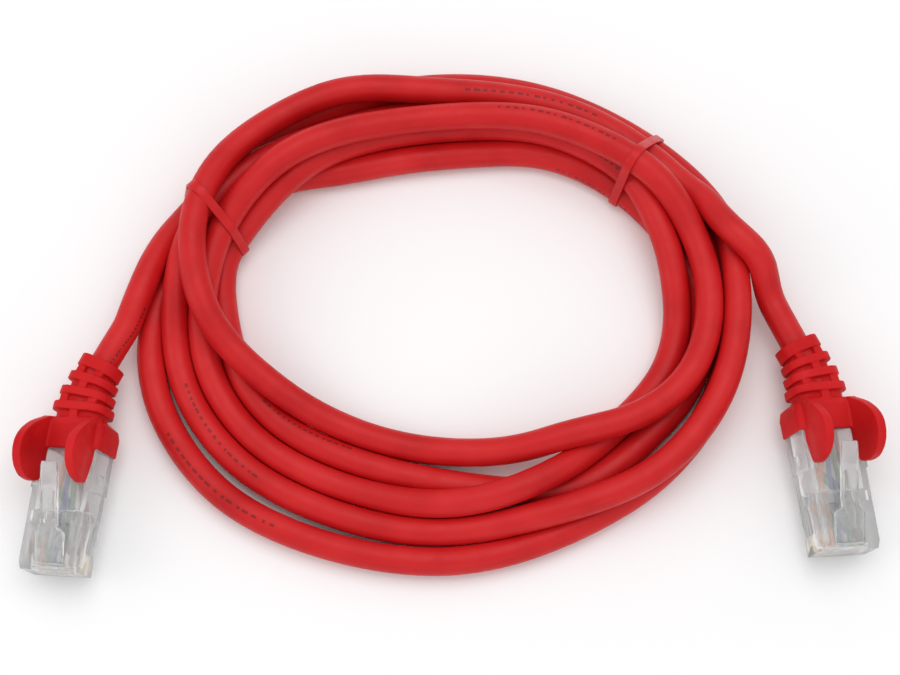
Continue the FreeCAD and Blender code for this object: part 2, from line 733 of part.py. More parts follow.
def make_coil():
    """The wound turns as one oval ring, wider in front where they fan out."""
    body = new_body("cable_coil")
    outside = new_sketch(body, "Outside", "XY_Plane")
    draw_ellipse(outside, "coil_x", "coil_y", "coil_width", "coil_depth")
    add_feature(body, "Pad", outside, "coil_height", midplane=False)
    inside = new_sketch(body, "Inside", "XY_Plane")
    draw_ellipse(inside, "coil_hole_x", "coil_hole_y", "coil_hole_width", "coil_hole_depth")
    ring = add_feature(body, "Pocket", inside, "coil_height", midplane=False, flipped=True)
    round_edges(body, ring, lambda box: box.ZLength < 0.01, "coil_rounding")
    return body


def draw_ellipse(sketch, across, up, width, depth):
    """Ellipse with its long axis across, held by its middle and two semi-axis ends."""
    ellipse = Part.Ellipse(Vector(0, 0, 0), 50, 40)
    index = sketch.addGeometry(ellipse, False)
    sketch.exposeInternalGeometry(index)
    for kind, formula in (("DistanceX", across), ("DistanceY", up)):
        number = sketch.addConstraint(make_constraint(kind, -1, 1, index, 3, 0.001))
        bind(sketch, "Constraints[%d]" % number, formula)
    sketch.addConstraint(make_constraint("Horizontal", index + 1))
    number = sketch.addConstraint(make_constraint("Distance", index + 1, 100))
    bind(sketch, "Constraints[%d]" % number, width)
    number = sketch.addConstraint(make_constraint("Distance", index + 2, 80))
    bind(sketch, "Constraints[%d]" % number, depth)


def make_band(side):
    """Flat band wrapped once around the turns."""
    name = SIDE_NAMES[side]
    body = new_body("tie_" + name)
    span = name + "_band_span"
    outside = new_sketch(body, "Outside", "XZ_Plane")
    draw_rectangle(outside, "0 - %s / 2" % span, "0", span, "band_height")
    block = add_feature(body, "Pad", outside, "band_width")
    round_edges(body, block, lambda box: box.YLength > 0.5, "band_corner")
    inside = new_sketch(body, "Inside", "XZ_Plane")
    draw_octagon(inside, "%s / 2 - band_thickness" % span)
    add_feature(body, "Pocket", inside, "band_width + cut_margin")
    turn = FreeCAD.Rotation(Vector(0, 0, 1), size(name + "_band_turn"))
    place = Vector(size(name + "_band_x"), size(name + "_band_y"), 0)
    body.Placement = FreeCAD.Placement(place, turn)
    return body


def draw_octagon(sketch, half):
    """Band opening: a rectangle with its corners cut off inside the rounding."""
    low, high = "band_thickness", "band_height - band_thickness"
    cut = "band_inner_cut"
    draw_outline(sketch, [
        ("%s - (%s)" % (cut, half), low), ("%s - %s" % (half, cut), low),
        (half, "%s + %s" % (low, cut)), (half, "%s - %s" % (high, cut)),
        ("%s - %s" % (half, cut), high), ("%s - (%s)" % (cut, half), high),
        ("0 - (%s)" % half, "%s - %s" % (high, cut)),
        ("0 - (%s)" % half, "%s + %s" % (low, cut))])


# Assembly

def make_plug_end(side):
    count = int(size("contact_count"))
    pieces = [make_housing(side), make_latch(side), make_guide(side), make_strain_bar(side)]
    pieces += [make_contact(side, number) for number in range(count)]
    pieces += [make_conductor(side, number) for number in range(count)]
    pieces += [make_boot(side), make_jacket_end(side)]
    for piece in pieces:
        piece.Placement = plug_place(side)
    return pieces


def check_document():
    doc.recompute()
    for item in doc.Objects:
        if "Invalid" in item.State or "Error" in item.State:
            raise RuntimeError("%s did not rebuild: %s" % (item.Label, item.State))


def export(pieces):
    os.makedirs("parts", exist_ok=True)
    for piece in pieces:
        shape = piece.Shape
        if shape.isNull() or not shape.isValid() or len(shape.Solids) != 1:
            raise RuntimeError("%s is not one valid solid" % piece.Label)
        shape.exportStep(os.path.join("parts", piece.Label + ".step"))


def main():
    pieces = []
    for side in (-1, 1):
        pieces += make_plug_end(side)
        pieces.append(make_lead(side))
        pieces.append(make_band(side))
    pieces.append(make_coil())
    check_document()
    export(pieces)
    whole = Part.makeCompound([piece.Shape for piece in pieces])
    box = whole.optimalBoundingBox(False)
    print("%d pieces" % len(pieces))
    print("whole object %.2f x %.2f x %.2f mm" % (box.XLength, box.YLength, box.ZLength))
    print("middle %.3f %.3f, lowest %.3f" % (box.Center.x, box.Center.y, box.ZMin))


main()
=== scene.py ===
import bpy
import math
import numpy as np
from mathutils import Matrix, Vector


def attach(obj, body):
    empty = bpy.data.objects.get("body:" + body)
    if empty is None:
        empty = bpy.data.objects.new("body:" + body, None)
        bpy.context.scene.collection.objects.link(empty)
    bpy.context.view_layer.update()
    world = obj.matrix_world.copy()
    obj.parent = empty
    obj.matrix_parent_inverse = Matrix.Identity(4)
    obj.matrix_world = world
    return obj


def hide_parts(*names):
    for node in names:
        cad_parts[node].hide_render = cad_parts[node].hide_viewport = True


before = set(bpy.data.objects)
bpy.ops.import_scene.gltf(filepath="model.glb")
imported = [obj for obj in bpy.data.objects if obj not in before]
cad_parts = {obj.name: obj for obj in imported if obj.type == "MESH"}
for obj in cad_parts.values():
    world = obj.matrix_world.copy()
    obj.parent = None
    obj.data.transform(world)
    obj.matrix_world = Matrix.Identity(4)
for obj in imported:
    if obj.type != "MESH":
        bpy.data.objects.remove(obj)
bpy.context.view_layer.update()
mm = 0.001
sides = {"left": -1, "right": 1}
print("frame loaded")


def deselectAll():
    active = bpy.context.view_layer.objects.active
    if active and active.mode != "OBJECT":
        bpy.ops.object.mode_set(mode="OBJECT")
    bpy.ops.object.select_all(action="DESELECT")


def selectOnly(*objs):
    deselectAll()
    for obj in objs:
        obj.select_set(True)
    bpy.context.view_layer.objects.active = objs[0]


def applyAll(obj):
    selectOnly(obj)
    for mod in list(obj.modifiers):
        bpy.ops.object.modifier_apply(modifier=mod.name)


def applyPlace(obj):
    selectOnly(obj)
    bpy.ops.object.transform_apply(location=True, rotation=True, scale=True)


def copyOf(obj, name):
    selectOnly(obj)
    bpy.ops.object.duplicate()  # the copy gets its own mesh
    made = bpy.context.object
    made.name = name
    made.data.name = name
    return made


def joinPieces(pieces, name):
    selectOnly(*pieces)
    if len(pieces) > 1:
        bpy.ops.object.join()
    made = bpy.context.object
    made.name = name
    return made


def cleanShell(obj, gap=0.01):
    selectOnly(obj)
    bpy.ops.object.mode_set(mode="EDIT")
    bpy.ops.mesh.select_all(action="SELECT")
    bpy.ops.mesh.remove_doubles(threshold=gap * mm)
    bpy.ops.mesh.normals_make_consistent(inside=False)
    bpy.ops.object.mode_set(mode="OBJECT")


def smoothByAngle(obj, degrees=32):
    selectOnly(obj)
    bpy.ops.object.shade_smooth_by_angle(angle=math.radians(degrees))


# materials

def newMaterial(name, colour, rough, **settings):
    mat = bpy.data.materials.new(name)
    mat.use_nodes = True
    shader = mat.node_tree.nodes["Principled BSDF"]
    shader.inputs["Base Color"].default_value = (*colour, 1)
    shader.inputs["Roughness"].default_value = rough
    for key, value in settings.items():
        shader.inputs[key.replace("_", " ")].default_value = value
    return mat


def addNode(mat, kind, **settings):
    node = mat.node_tree.nodes.new(kind)
    for key, value in settings.items():
        setattr(node, key, value)
    return node


def joinNodes(mat, out, into):
    mat.node_tree.links.new(out, into)


def noiseOf(mat, scale, detail=4.0, stretch=(1, 1, 1)):
    coords = addNode(mat, "ShaderNodeTexCoord")
    mapping = addNode(mat, "ShaderNodeMapping")
    mapping.inputs["Scale"].default_value = stretch
    noise = addNode(mat, "ShaderNodeTexNoise")
    noise.inputs["Scale"].default_value = scale
    noise.inputs["Detail"].default_value = detail
    joinNodes(mat, coords.outputs["Object"], mapping.inputs["Vector"])
    joinNodes(mat, mapping.outputs["Vector"], noise.inputs["Vector"])
    return noise.outputs["Fac"]


def rampOf(mat, source, stops):
    ramp = addNode(mat, "ShaderNodeValToRGB")
    marks = ramp.color_ramp.elements
    while len(marks) < len(stops):
        marks.new(0.5)
    for mark, (place, colour) in zip(marks, stops):
        mark.position = place
        mark.color = (*colour, 1)
    joinNodes(mat, source, ramp.inputs["Fac"])
    return ramp.outputs["Color"]


def rangeOf(mat, source, low, high):
    spread = addNode(mat, "ShaderNodeMapRange")
    spread.inputs["From Min"].default_value = 0.3
    spread.inputs["From Max"].default_value = 0.7
    spread.inputs["To Min"].default_value = low
    spread.inputs["To Max"].default_value = high
    joinNodes(mat, source, spread.inputs["Value"])
    return spread.outputs["Result"]


def bumpFrom(mat, source, strength, depth):
    bump = addNode(mat, "ShaderNodeBump")
    bump.inputs["Strength"].default_value = strength
    bump.inputs["Distance"].default_value = depth
    joinNodes(mat, source, bump.inputs["Height"])
    joinNodes(mat, bump.outputs["Normal"], shaderOf(mat).inputs["Normal"])


def shaderOf(mat):
    return mat.node_tree.nodes["Principled BSDF"]


def paint(obj, mat):
    obj.data.materials.clear()
    obj.data.materials.append(mat)


reds = {
    "deep": (0.46, 0.005, 0.007),
    "main": (0.56, 0.010, 0.012),
    "light": (0.62, 0.018, 0.020),
    "jacketRough": 0.44,
    "bootRough": 0.50,
    "bandRough": 0.36,
    "gloss": 0.24,
    "bootGloss": 0.12,
    "jacketGrain": (1500.0, 0.00003),
    "bootGrain": (2600.0, 0.00005),
    "bandGrain": (900.0, 0.00002),
    "inkColour": (0.035, 0.010, 0.010),
}


def redPlastic(name, rough, grain, gloss):
    mat = newMaterial(name, reds["main"], rough, Specular_IOR_Level=gloss)
    cloudy = noiseOf(mat, 90.0, 3.0)
    colour = rampOf(mat, cloudy, [(0.25, reds["deep"]), (0.5, reds["main"]), (0.8, reds["light"])])
    joinNodes(mat, colour, shaderOf(mat).inputs["Base Color"])
    scuffs = noiseOf(mat, 420.0, 5.0)
    joinNodes(mat, rangeOf(mat, scuffs, rough - 0.07, rough + 0.09), shaderOf(mat).inputs["Roughness"])
    bumpFrom(mat, noiseOf(mat, grain[0], 4.0), 0.35, grain[1])
    return mat


ink = {
    "dashes": 1150.0,
    "groupDashes": 96.0,
    "groupShare": 0.16,
    "shortest": 0.3,
    "longer": 0.5,
    "halfHeight": 0.016,
    "side": 0.30,
    "sway": 0.16,
    "swayTurns": 5.0,
    "strength": 0.60,
}


def mathNode(mat, kind, first, second=0.0):
    node = addNode(mat, "ShaderNodeMath", operation=kind)
    for socket, value in zip(node.inputs, (first, second)):
        if isinstance(value, float):
            socket.default_value = value
        else:
            joinNodes(mat, value, socket)
    return node.outputs[0]


def inkMarks(mat):
    # a broken line of plain dashes in short groups, in the cord's own UV map
    coords = addNode(mat, "ShaderNodeTexCoord")
    split = addNode(mat, "ShaderNodeSeparateXYZ")
    joinNodes(mat, coords.outputs["UV"], split.inputs[0])
    along, around = split.outputs[0], split.outputs[1]
    dash = mathNode(mat, "MULTIPLY", along, ink["dashes"])
    number = mathNode(mat, "FLOOR", dash)
    chance = addNode(mat, "ShaderNodeTexWhiteNoise", noise_dimensions="1D")
    joinNodes(mat, number, chance.inputs["W"])
    group = mathNode(mat, "FRACT", mathNode(mat, "DIVIDE", number, ink["groupDashes"]))
    inGroup = mathNode(mat, "LESS_THAN", group, ink["groupShare"])
    longer = mathNode(mat, "MULTIPLY", chance.outputs["Value"], ink["longer"])
    reach = mathNode(mat, "ADD", longer, ink["shortest"])
    drawn = mathNode(mat, "LESS_THAN", mathNode(mat, "FRACT", dash), reach)
    swing = mathNode(mat, "MULTIPLY", along, ink["swayTurns"] * 2 * math.pi)
    place = mathNode(mat, "MULTIPLY", mathNode(mat, "SINE", swing), ink["sway"])
    place = mathNode(mat, "ADD", place, ink["side"])
    off = mathNode(mat, "ABSOLUTE", mathNode(mat, "SUBTRACT", around, place))
    inLine = mathNode(mat, "LESS_THAN", off, ink["halfHeight"])
    printed = mathNode(mat, "MULTIPLY", mathNode(mat, "MULTIPLY", inGroup, drawn), inLine)
    mix = addNode(mat, "ShaderNodeMix", data_type="RGBA")
    shader = shaderOf(mat)
    source = shader.inputs["Base Color"].links[0].from_socket
    joinNodes(mat, mathNode(mat, "MULTIPLY", printed, ink["strength"]), mix.inputs["Factor"])
    joinNodes(mat, source, mix.inputs["A"])
    mix.inputs["B"].default_value = (*reds["inkColour"], 1)
    joinNodes(mat, mix.outputs["Result"], shader.inputs["Base Color"])


jacketMat = redPlastic("jacketRed", reds["jacketRough"], reds["jacketGrain"], reds["gloss"])
printedMat = redPlastic("jacketPrinted", reds["jacketRough"], reds["jacketGrain"], reds["gloss"])
inkMarks(printedMat)
bootMat = redPlastic("bootRed", reds["bootRough"], reds["bootGrain"], reds["bootGloss"])
bandMat = redPlastic("bandRed", reds["bandRough"], reds["bandGrain"], reds["gloss"])

clear = {
    "tint": (0.985, 0.99, 0.99),
    "milk": (0.96, 0.965, 0.965),
    "ior": 1.33,
    "plugRough": 0.08,
    "latchRough": 0.07,
    "guideRough": 0.14,
    "plugBody": 0.79,
    "latchBody": 0.90,
    "guideBody": 0.97,
    "plugWaves": 0.22,
    "latchWaves": 0.25,
    "guideWaves": 0.30,
}


def clearPlastic(part, name, tint):
    rough = clear[part + "Rough"]
    mat = newMaterial(name, tint, rough, IOR=clear["ior"], Transmission_Weight=clear[part + "Body"])
    smear = noiseOf(mat, 260.0, 4.0)
    joinNodes(mat, rangeOf(mat, smear, rough * 0.5, rough * 2.4), shaderOf(mat).inputs["Roughness"])
    bumpFrom(mat, noiseOf(mat, 320.0, 2.0), clear[part + "Waves"], 0.00008)
    return mat


plugMat = clearPlastic("plug", "clearPlug", clear["tint"])
latchMat = clearPlastic("latch", "clearLatch", clear["tint"])
guideMat = clearPlastic("guide", "milkyGuide", clear["milk"])


def goldMetal():
    mat = newMaterial("goldContact", (0.93, 0.66, 0.27), 0.24, Metallic=1.0)
    wear = noiseOf(mat, 1800.0, 4.0, (1, 4, 1))
    colour = rampOf(mat, wear, [(0.3, (0.80, 0.52, 0.19)), (0.7, (0.97, 0.74, 0.36))])
    joinNodes(mat, colour, shaderOf(mat).inputs["Base Color"])
    joinNodes(mat, rangeOf(mat, wear, 0.18, 0.34), shaderOf(mat).inputs["Roughness"])
    bumpFrom(mat, noiseOf(mat, 4200.0, 2.0, (1, 6, 1)), 0.25, 0.00002)
    return mat


goldMat = goldMetal()

wireColours = {
    "wire_white_orange": ((0.80, 0.78, 0.74), (0.80, 0.27, 0.06)),
    "wire_orange": ((0.84, 0.36, 0.15), (0.78, 0.27, 0.09)),
    "wire_white_green": ((0.80, 0.80, 0.75), (0.10, 0.36, 0.12)),
    "wire_blue": ((0.16, 0.22, 0.52), (0.10, 0.16, 0.44)),
    "wire_white_blue": ((0.80, 0.80, 0.80), (0.10, 0.17, 0.52)),
    "wire_green": ((0.18, 0.40, 0.20), (0.10, 0.31, 0.13)),
    "wire_white_brown": ((0.80, 0.78, 0.74), (0.24, 0.10, 0.05)),
    "wire_brown": ((0.26, 0.13, 0.08), (0.16, 0.07, 0.04)),
}


def wireMaterial(name):
    base, streak = wireColours[name]
    mat = newMaterial(name, base, 0.38, Subsurface_Weight=0.05, Subsurface_Radius=(0.001, 0.001, 0.001))
    coords = addNode(mat, "ShaderNodeTexCoord")
    wave = addNode(mat, "ShaderNodeTexWave", wave_type="BANDS", bands_direction="DIAGONAL")
    wave.inputs["Scale"].default_value = 95.0
    wave.inputs["Distortion"].default_value = 2.0
    joinNodes(mat, coords.outputs["Object"], wave.inputs["Vector"])
    colour = rampOf(mat, wave.outputs["Fac"], [(0.0, base), (0.60, base), (0.72, streak)])
    joinNodes(mat, colour, shaderOf(mat).inputs["Base Color"])
    bumpFrom(mat, noiseOf(mat, 2400.0, 3.0), 0.2, 0.00003)
    return mat


# camera, light and floor

stage = {
    "target": (0.0, -0.0060, 0.0080),
    "elevation": 72.0,
    "distance": 0.350,
    "lens": 73.6,
    "floorColour": (0.93, 0.93, 0.935),
    "skyStrength": 0.76,
}

# place, width and depth in metres, and power in watts
lamps = {
    "softTop": ((0.05, 0.15, 0.60), (0.55, 0.45), 1.25),
    "softLeft": ((-0.55, -0.10, 0.35), (0.35, 0.35), 0.5),
    "softFront": ((0.15, -0.60, 0.35), (0.45, 0.30), 0.3),
}


def makeCamera():
    up = math.radians(stage["elevation"])
    away = Vector((0, -math.cos(up), math.sin(up)))
    place = Vector(stage["target"]) + away * stage["distance"]
    deselectAll()
    bpy.ops.object.camera_add(location=place)
    cam = bpy.context.object
    cam.name = "viewCamera"
    cam.rotation_euler = (-away).to_track_quat("-Z", "Y").to_euler()
    cam.data.sensor_width = 36
    cam.data.lens = stage["lens"]
    cam.data.clip_start = 0.01
    bpy.context.scene.camera = cam


def makeLight(name, place, size, power):
    deselectAll()
    bpy.ops.object.light_add(type="AREA", location=place)
    lamp = bpy.context.object
    lamp.name = name
    lamp.data.shape = "RECTANGLE"
    lamp.data.size = size[0]
    lamp.data.size_y = size[1]
    lamp.data.energy = power
    aim = Vector((0, 0, 0)) - Vector(place)
    lamp.rotation_euler = aim.to_track_quat("-Z", "Y").to_euler()


def makeStage():
    deselectAll()
    bpy.ops.mesh.primitive_plane_add(size=4, location=(0, 0, -0.0001))
    floor = bpy.context.object
    floor.name = "studioFloor"
    mat = newMaterial("paleFloor", stage["floorColour"], 0.75)
    tone = rampOf(mat, noiseOf(mat, 3.0, 2.0), [(0.3, (0.92, 0.92, 0.925)), (0.7, stage["floorColour"])])
    joinNodes(mat, tone, shaderOf(mat).inputs["Base Color"])
    paint(floor, mat)
    sky = bpy.data.worlds.new("studioSky")
    sky.use_nodes = True
    sky.node_tree.nodes["Background"].inputs["Color"].default_value = (1, 1, 1, 1)
    sky.node_tree.nodes["Background"].inputs["Strength"].default_value = stage["skyStrength"]
    bpy.context.scene.world = sky
    bpy.context.scene.view_settings.view_transform = "Standard"
    bpy.context.scene.view_settings.look = "None"


makeCamera()
makeStage()
for name, (place, size, power) in lamps.items():
    makeLight(name, place, size, power)
print("camera, floor and lights made")


# cord

cordSizes = {
    "diameter": 5.4,
    "ovalCentre": (-0.75, 1.35),
    "ovalHalf": (50.3, 39.9),
    "stations": 16,
    "finer": 3,
    "settleSteps": 220,
    "hold": 0.02,
    "sag": 0.03,
    "relax": 0.35,
    "smooth": 0.4,
    "pushes": 3,
    "pushShare": 0.9,
    "ownReach": 2.2,
}

# leads from each boot, millimetres; the left one ends at the coil and the right one starts there
leftLead = [(-65.88, -10.61, 6.05), (-61.88, -3.20, 6.15), (-56.2, 5.3, 7.60)]
rightLead = [(44.6, 25.4, 12.4), (49.8, 19.0, 12.2), (54.6, 12.0, 10.6), (59.3, 5.7, 8.0),
             (62.7, -0.10, 6.1), (65.88, -6.81, 6.05)]

# each turn: how far outward from the oval and how high its middle lies, clockwise from the left
turns = [
    [(7.6, 7.8), (2.5, 6.2), (4.2, 3.6), (6.0, 2.7), (6.0, 2.7), (5.2, 2.7),
     (5.4, 3.0), (5.6, 5.4), (5.0, 8.1), (6.0, 8.1), (6.5, 8.0), (5.3, 7.6),
     (4.3, 5.0), (3.1, 2.9), (3.0, 2.7), (2.6, 4.0)],
    [(1.8, 7.0), (2.5, 6.5), (3.2, 6.0), (2.7, 6.0), (2.7, 6.0), (2.4, 5.5),
     (1.4, 3.5), (2.2, 2.7), (5.0, 2.7), (5.8, 2.7), (6.3, 2.7), (6.3, 2.7),
     (9.2, 2.7), (10.0, 2.7), (10.8, 2.7), (9.0, 2.7)],
    [(5.0, 2.7), (1.5, 2.7), (-2.5, 2.7), (-6.2, 2.7), (-6.1, 2.7), (-1.4, 2.7),
     (-0.2, 2.7), (-0.6, 3.0), (-0.3, 2.7), (-0.4, 2.7), (-2.0, 2.7), (-2.4, 2.7),
     (-4.3, 2.7), (-4.9, 2.7), (-5.4, 2.7), (-5.2, 2.7)],
    [(-4.2, 2.7), (-3.4, 3.5), (-3.6, 7.8), (-3.8, 7.0), (-2.6, 6.0), (-0.5, 7.0),
     (-0.2, 6.0), (-2.4, 3.4), (-3.5, 2.9), (-4.5, 3.0), (-4.6, 5.8), (-1.9, 7.8),
     (-1.4, 7.8), (-2.7, 6.0), (-2.1, 2.9), (-3.3, 3.0)],
    [(-3.8, 7.6), (-3.1, 8.1), (-3.2, 12.2), (-3.1, 11.5), (-2.5, 11.0), (-1.0, 11.4),
     (-0.6, 10.0), (0.4, 9.0), (0.6, 8.4), (-0.4, 8.4), (-4.2, 10.6), (-8.2, 9.5),
     (-11.2, 8.4), (-11.8, 7.5), (-10.4, 7.5), (-8.0, 8.5)],
    [(-3.4, 13.0), (2.0, 12.5), (6.0, 11.0), (7.6, 10.6), (3.9, 11.3), (3.2, 11.5),
     (2.8, 12.0)],
]


def ovalPoint(station):
    angle = math.radians(180 - 360 / cordSizes["stations"] * station)
    across, deep = cordSizes["ovalHalf"]
    point = Vector((cordSizes["ovalCentre"][0] + across * math.cos(angle),
                    cordSizes["ovalCentre"][1] + deep * math.sin(angle), 0))
    outward = Vector((math.cos(angle) / across, math.sin(angle) / deep, 0)).normalized()
    return point, outward


def plannedCord():
    points = [Vector(p) for p in leftLead]
    for turn in turns:
        for station, (out, up) in enumerate(turn):
            point, outward = ovalPoint(station)
            if turn is turns[0] and station == 0:
                continue  # the left lead comes in here
            points.append(point + outward * out + Vector((0, 0, up)))
    points += [Vector(p) for p in rightLead]
    dense = []
    last = len(points) - 1
    for i in range(last):
        before = points[max(i - 1, 0)]
        here = points[i]
        after = points[i + 1]
        beyond = points[min(i + 2, last)]
        for step in range(cordSizes["finer"]):
            t = step / cordSizes["finer"]
            dense.append(0.5 * (2 * here + (after - before) * t
                                + (2 * before - 5 * here + 4 * after - beyond) * t * t
                                + (3 * here - before - 3 * after + beyond) * t ** 3))
    dense.append(points[last])
    return np.array([list(p) for p in dense])


def pushApart(cord):
    width = cordSizes["diameter"]
    starts = cord[:-1]
    runs = cord[1:] - starts
    squares = (runs ** 2).sum(1)
    gaps = cord[:, None, :] - starts[None]
    along = np.clip((gaps * runs[None]).sum(2) / squares[None], 0, 1)
    away = gaps - along[..., None] * runs[None]
    near = np.sqrt((away ** 2).sum(2))
    order = np.arange(len(cord))
    apart = np.abs(order[:, None] - order[None, :-1] - 0.5)
    rows, cols = np.nonzero((near < width) & (apart > cordSizes["ownReach"] * cordSizes["finer"]))
    if len(rows) == 0:
        return
    close = near[rows, cols]
    push = away[rows, cols] / np.maximum(close, 1e-6)[:, None] * ((width - close) * 0.5)[:, None]
    share = along[rows, cols]
    moved = np.zeros_like(cord)
    count = np.zeros(len(cord))
    np.add.at(moved, rows, push)
    np.add.at(count, rows, 1)
    np.add.at(moved, cols, -push * (1 - share)[:, None])
    np.add.at(count, cols, 1 - share)
    np.add.at(moved, cols + 1, -push * share[:, None])
    np.add.at(count, cols + 1, share)
    cord += moved / np.maximum(count, 1)[:, None] * cordSizes["pushShare"]


def settleCord(planned):
    cord = planned.copy()
    low = cordSizes["diameter"] / 2
    held = cordSizes["finer"] + 1
    flat = planned.copy()
    flat[:, 2] = 0
    for step in range(cordSizes["settleSteps"]):
        cord[:, :2] += cordSizes["hold"] * (planned[:, :2] - cord[:, :2])
        cord[:, 2] -= cordSizes["sag"]
        drift = cord - flat
        even = drift.copy()
        even[2:-2] = (10 * drift[2:-2] + 4 * drift[1:-3] + 4 * drift[3:-1] - drift[:-4] - drift[4:]) / 16
        even[1:-1] += cordSizes["smooth"] * ((drift[:-2] + 2 * drift[1:-1] + drift[2:]) / 4 - drift[1:-1])
        cord += cordSizes["relax"] * (even - drift)
        for again in range(cordSizes["pushes"]):
            pushApart(cord)
            cord[:, 2] = np.maximum(cord[:, 2], low)
        cord[:held] = planned[:held]
        cord[-held:] = planned[-held:]
    return cord


def makeCord():
    cord = settleCord(plannedCord()) * mm
    curve = bpy.data.curves.new("patchCord", "CURVE")
    curve.dimensions = "3D"
    spline = curve.splines.new("NURBS")
    spline.points.add(len(cord) - 1)
    for point, place in zip(spline.points, cord):
        point.co = (*place, 1)
    spline.order_u = 3
    spline.use_endpoint_u = True
    spline.resolution_u = 4
    curve.resolution_u = 4
    obj = bpy.data.objects.new("patchCord", curve)
    bpy.context.scene.collection.objects.link(obj)
    line = bpy.data.meshes.new_from_object(obj)
    path = np.array([list(v.co) for v in line.vertices])
    bpy.data.meshes.remove(line)
    curve.twist_mode = "Z_UP"
    curve.bevel_depth = cordSizes["diameter"] / 2 * mm
    curve.bevel_resolution = 6
    curve.use_fill_caps = True
    runs = np.linalg.norm(np.diff(path, axis=0), axis=1)
    print("cord settled, points %d, length %.4f m" % (len(cord), runs.sum()))
    return obj, path, float(runs.sum())


patchCord, cordPath, cordLength = makeCord()
paint(patchCord, printedMat)
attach(patchCord, "cable")
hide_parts("cable_lead_left", "cable_coil", "cable_lead_right")

# plug frame: nose face at the origin, +Y back along the plug, +Z toward the latch

plug = {
    "yaw": 6.4,
    "roll": 17.0,
    "height": 6.05,
    "noses": {"left": (-72.7, -50.8), "right": (72.7, -47.0)},
}


def plugPlace(side):
    turn = sides[side]
    x, y = plug["noses"][side]
    spot = Matrix.Translation((x * mm, y * mm, plug["height"] * mm))
    yaw = Matrix.Rotation(math.radians(turn * plug["yaw"]), 4, "Z")
    roll = Matrix.Rotation(math.radians(turn * plug["roll"]), 4, "Y")
    return spot @ yaw @ roll


def loft(name, sections, corner=0.0, rounds=3):
    # each section: y, width, height, x, z in millimetres
    y, width, height, x, z = sections[0]
    deselectAll()
    bpy.ops.mesh.primitive_plane_add(size=1, location=(x * mm, y * mm, z * mm),
                                     rotation=(math.pi / 2, 0, 0))
    obj = bpy.context.object
    obj.name = name
    obj.scale = (width * mm, height * mm, 1)
    applyPlace(obj)
    bpy.ops.object.mode_set(mode="EDIT")
    bpy.ops.mesh.select_all(action="SELECT")
    if corner:
        bpy.ops.mesh.bevel(offset=corner * mm, segments=rounds, affect="VERTICES")
        bpy.ops.mesh.select_all(action="SELECT")
    for ny, nextWidth, nextHeight, nx, nz in sections[1:]:
        shift = ((nx - x) * mm, (ny - y) * mm, (nz - z) * mm)
        bpy.ops.mesh.extrude_region_move(TRANSFORM_OT_translate={"value": shift})
        bpy.ops.transform.resize(value=(nextWidth / width, 1, nextHeight / height),
                                 center_override=(nx * mm, ny * mm, nz * mm))
        y, width, height, x, z = ny, nextWidth, nextHeight, nx, nz
    bpy.ops.mesh.select_all(action="SELECT")
    bpy.ops.mesh.normals_make_consistent(inside=False)
    bpy.ops.object.mode_set(mode="OBJECT")
    return obj


def softenEdges(obj, width, segments=2, degrees=30):
    soft = obj.modifiers.new("soften", "BEVEL")
    soft.width = width * mm
    soft.segments = segments
    soft.limit_method = "ANGLE"
    soft.angle_limit = math.radians(degrees)
    applyAll(obj)


def cutAway(obj, cutter):
    cut = obj.modifiers.new("cut", "BOOLEAN")
    cut.operation = "DIFFERENCE"
    cut.solver = "EXACT"
    cut.object = cutter
    applyAll(obj)
    bpy.data.objects.remove(cutter)


# boots

boot = {
    "hoodFront": 22.8,
    "hoodLength": 6.2,
    "hoodWidth": 13.8,
    "hoodHeight": 8.4,
    "hoodCorner": 1.3,
    "earThickness": 1.7,
    "earCentre": 5.4,
    "earRoot": 4.2,
    "earLeanHeight": 3.5,
    "tailLength": 12.0,
    "tailRadius": 31.0,
    "ringWidth": 11.2,
    "ringHeight": 8.0,
    "widthStep": 0.95,
    "heightStep": 0.27,
    "ringGap": 1.2,
    "ringThickness": 1.6,
    "ringCount": 4,
    "ringCorner": 2.9,
    "collarLength": 2.4,
    "coreSide": 0.9,
    "coreTop": 1.2,
    "coreCorner": 1.8,
    "webWidth": 1.7,
    "webSide": 1.3,
    "webSunk": 0.3,
    "webInset": 0.3,
    "cornerWebInset": 0.55,
    "webOverlap": 0.4,
    "voxel": 0.19,
    "relaxSteps": 9,
    "keepFaces": 0.45,
    "socket": (12.46, 6.7),
    "socketEnd": 24.25,
    "socketCorner": 0.35,
    "borePlay": 0.04,
    "boreFront": 20.0,
}


# y, lowest, highest: the leaf-shaped ear from its root to its tip
earOutline = [(28.7, 2.4, 4.4), (27.5, 2.0, 6.9), (25.8, 1.6, 9.3), (24.0, 1.5, 11.1),
              (22.3, 1.6, 12.0), (20.4, 3.4, 12.1), (18.6, 3.8, 11.5), (17.2, 4.0, 10.3),
              (16.3, 4.4, 8.8), (15.9, 5.2, 7.3)]


def tailFrame(along):
    roll = math.radians(plug["roll"])
    toward = Vector((math.cos(roll), 0, -math.sin(roll)))
    angle = along / boot["tailRadius"]
    rear = boot["hoodFront"] + boot["hoodLength"]
    point = Vector((0, rear + boot["tailRadius"] * math.sin(angle), 0))
    point += toward * boot["tailRadius"] * (1 - math.cos(angle))
    hinge = Vector((0, 1, 0)).cross(toward)
    return Matrix.Translation(point * mm) @ Matrix.Rotation(angle, 4, hinge)


def makeHood():
    front = boot["hoodFront"]
    rear = front + boot["hoodLength"]
    width = boot["hoodWidth"]
    height = boot["hoodHeight"]
    return loft("hood", [(front, width - 0.3, height, 0, 0), (front + 3.4, width, height, 0, 0),
                         (rear - 1.3, width - 0.8, height - 0.2, 0, 0),
                         (rear, width - 4.6, height - 1.6, 0, 0)], boot["hoodCorner"], 4)


